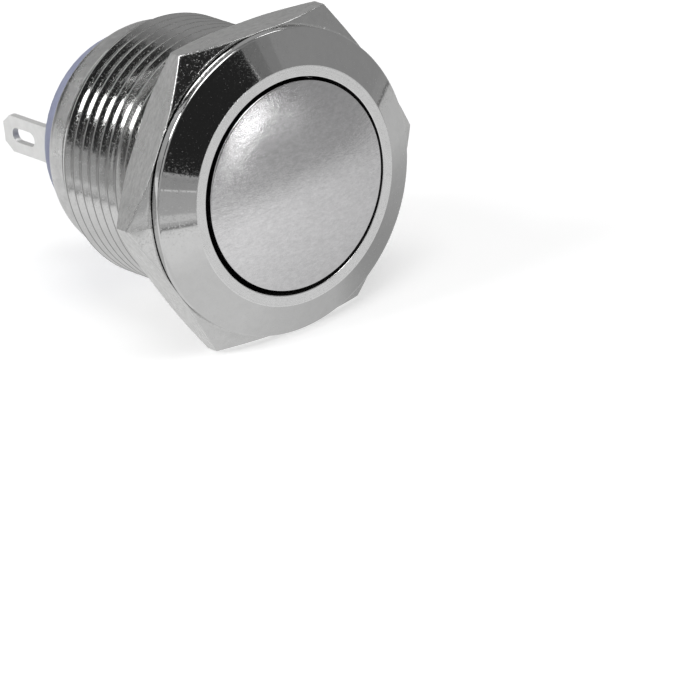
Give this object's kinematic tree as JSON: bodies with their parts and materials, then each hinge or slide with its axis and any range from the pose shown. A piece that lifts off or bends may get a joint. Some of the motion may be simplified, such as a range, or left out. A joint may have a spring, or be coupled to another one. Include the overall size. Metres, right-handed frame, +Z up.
{
  "type": "anti vandal push button",
  "caption": "Metal push button with a domed cap in a wide bevelled flange, a threaded barrel with a hexagon nut, and a moulded base with blade terminals; switches a circuit when pressed.",
  "frame": {"origin": "centre of the flange's back face, which lies on the front of the panel", "axes": "+Y along the button's axis from the cap to the terminals, so the cap faces -Y; +X to the right as the user sees the cap; +Z up"},
  "size_m": [0.0254, 0.0282, 0.022],
  "materials": {
    "bright_nickel": "bright nickel plate on turned brass",
    "satin_nickel": "satin nickel plate with fine machining lines",
    "brushed_steel": "fine satin",
    "spring_steel": "plain drawn wire and strip",
    "copper_alloy": "plain",
    "silver": "silver contact face",
    "tinned_brass": "bright tin plate",
    "black_rubber": "matt",
    "black_plastic": "matt moulded",
    "white_plastic": "matt moulded",
    "blue_plastic": "fine grained blue grey moulding"
  },
  "bodies": {
    "body": {"housing": "bright_nickel", "guide_sleeve": "white_plastic", "base_gasket": "black_rubber", "base": "blue_plastic", "terminal_left": "tinned_brass", "terminal_right": "tinned_brass", "fixed_tip_left": "silver", "fixed_tip_right": "silver", "return_spring": "spring_steel"},
    "button": {"button_cap": "brushed_steel", "cap_seal": "black_rubber", "cap_clip": "spring_steel", "plunger": "black_plastic", "stem_pin": "spring_steel", "contact_spring": "spring_steel", "contact_bridge": "copper_alloy", "bridge_tip_left": "silver", "bridge_tip_right": "silver", "bridge_clip": "spring_steel"},
    "nut": {"hex_nut": "satin_nickel"}
  },
  "joints": [
    {"name": "button_press", "type": "slide", "parent": "body", "child": "button", "axis": [0, 1, 0], "range_m": [0, 0.0015], "stiffness_N_per_m": 1300, "springref_m": -0.0015, "deforming": ["return_spring"]},
    {"name": "nut_turn", "type": "hinge", "parent": "body", "child": "nut", "pos_m": [0, 0.00165, 0], "axis": [0, 1, 0], "continuous": true}
  ]
}
